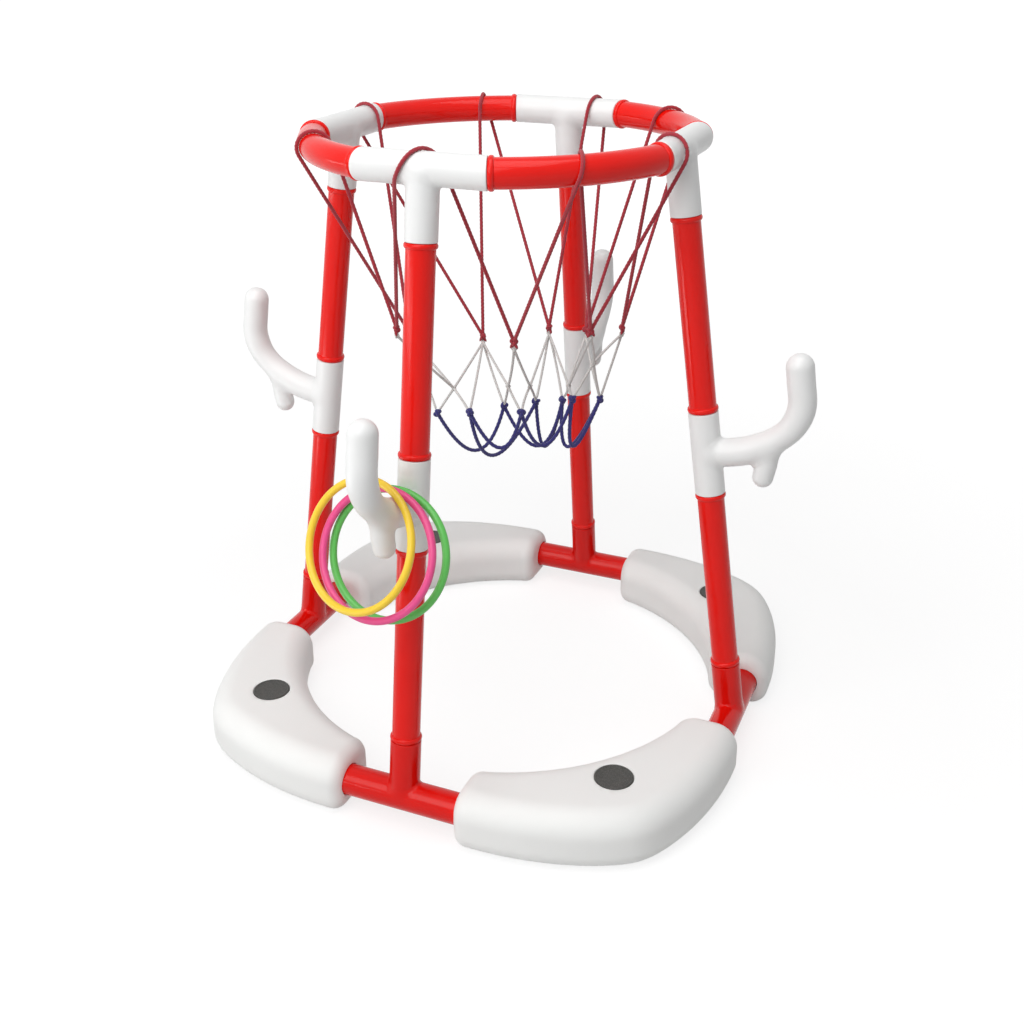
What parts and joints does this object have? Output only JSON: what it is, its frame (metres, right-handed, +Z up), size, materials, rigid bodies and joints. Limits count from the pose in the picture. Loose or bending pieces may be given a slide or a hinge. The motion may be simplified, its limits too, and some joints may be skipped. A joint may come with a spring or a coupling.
{
  "type": "inflatable basketball hoop",
  "caption": "Free-standing pool hoop: leaning tube legs with swivelling hooks on hollow floats carry a tubular rim with a cord net, and toss rings hang on a hook.",
  "frame": {"origin": "on the floor at the centre of the base, straight under the rim's centre", "axes": "+Z is up along the hoop's axis; -Y points to the leg that carries the toss rings, +X to the leg on its right as seen from the front"},
  "size_m": [0.5772, 0.5772, 0.579],
  "materials": {
    "red_plastic": "gloss",
    "white_plastic": "satin",
    "float_plastic": "satin",
    "dark_stopper": "matte",
    "crimson_cord": "braided cord",
    "pale_cord": "braided cord",
    "navy_cord": "braided cord",
    "yellow_plastic": "satin",
    "pink_plastic": "satin",
    "green_plastic": "satin"
  },
  "bodies": {
    "frame": {"base_tee_back": "red_plastic", "base_tee_front": "red_plastic", "base_tee_left": "red_plastic", "base_tee_right": "red_plastic", "float_back_left": "float_plastic", "float_back_right": "float_plastic", "float_front_left": "float_plastic", "float_front_right": "float_plastic", "lower_tube_back": "red_plastic", "lower_tube_front": "red_plastic", "lower_tube_left": "red_plastic", "lower_tube_right": "red_plastic", "net_bottom_loops": "navy_cord", "net_middle_cords": "pale_cord", "net_top_cords": "crimson_cord", "rim_tee_back": "white_plastic", "rim_tee_front": "white_plastic", "rim_tee_left": "white_plastic", "rim_tee_right": "white_plastic", "rim_tube_back_left": "red_plastic", "rim_tube_back_right": "red_plastic", "rim_tube_front_left": "red_plastic", "rim_tube_front_right": "red_plastic", "upper_tube_back": "red_plastic", "upper_tube_front": "red_plastic", "upper_tube_left": "red_plastic", "upper_tube_right": "red_plastic"},
    "hook_front": {"hook_front": "white_plastic"},
    "hook_right": {"hook_right": "white_plastic"},
    "hook_back": {"hook_back": "white_plastic"},
    "hook_left": {"hook_left": "white_plastic"},
    "toss_ring_green": {"toss_ring_green": "green_plastic"},
    "toss_ring_pink": {"toss_ring_pink": "pink_plastic"},
    "toss_ring_yellow": {"toss_ring_yellow": "yellow_plastic"},
    "float_plug_front_right": {"float_plug_front_right": "dark_stopper"},
    "float_plug_back_right": {"float_plug_back_right": "dark_stopper"},
    "float_plug_back_left": {"float_plug_back_left": "dark_stopper"},
    "float_plug_front_left": {"float_plug_front_left": "dark_stopper"}
  },
  "joints": [
    {"name": "hook_front_swivel", "type": "hinge", "parent": "frame", "child": "hook_front", "pos_m": [0, -0.1953, 0.29241], "axis": [0, 0.1359, 0.9907], "range_deg": [-90, 90]},
    {"name": "hook_right_swivel", "type": "hinge", "parent": "frame", "child": "hook_right", "pos_m": [0.1953, 0, 0.29241], "axis": [-0.1359, 0, 0.9907], "range_deg": [-90, 90]},
    {"name": "hook_back_swivel", "type": "hinge", "parent": "frame", "child": "hook_back", "pos_m": [0, 0.1953, 0.29241], "axis": [0, -0.1359, 0.9907], "range_deg": [-90, 90]},
    {"name": "hook_left_swivel", "type": "hinge", "parent": "frame", "child": "hook_left", "pos_m": [-0.1953, 0, 0.29241], "axis": [0.1359, 0, 0.9907], "range_deg": [-90, 90]},
    {"name": "toss_ring_green_swing", "type": "hinge", "parent": "hook_front", "child": "toss_ring_green", "pos_m": [0, -0.22115, 0.29674], "axis": [-0.0764, -0.9318, 0.3549], "range_deg": [-30, 40]},
    {"name": "toss_ring_pink_swing", "type": "hinge", "parent": "hook_front", "child": "toss_ring_pink", "pos_m": [0, -0.23115, 0.29963], "axis": [-0.1417, -0.9009, 0.4102], "range_deg": [-18, 45]},
    {"name": "toss_ring_yellow_swing", "type": "hinge", "parent": "hook_front", "child": "toss_ring_yellow", "pos_m": [0, -0.24269, 0.30524], "axis": [-0.2307, -0.8759, 0.4237], "range_deg": [-20, 50]},
    {"name": "float_plug_front_right_pull", "type": "slide", "parent": "frame", "child": "float_plug_front_right", "axis": [0, 0, 1], "range_m": [0, 0.03]},
    {"name": "float_plug_back_right_pull", "type": "slide", "parent": "frame", "child": "float_plug_back_right", "axis": [0, 0, 1], "range_m": [0, 0.03]},
    {"name": "float_plug_back_left_pull", "type": "slide", "parent": "frame", "child": "float_plug_back_left", "axis": [0, 0, 1], "range_m": [0, 0.03]},
    {"name": "float_plug_front_left_pull", "type": "slide", "parent": "frame", "child": "float_plug_front_left", "axis": [0, 0, 1], "range_m": [0, 0.03]}
  ]
}
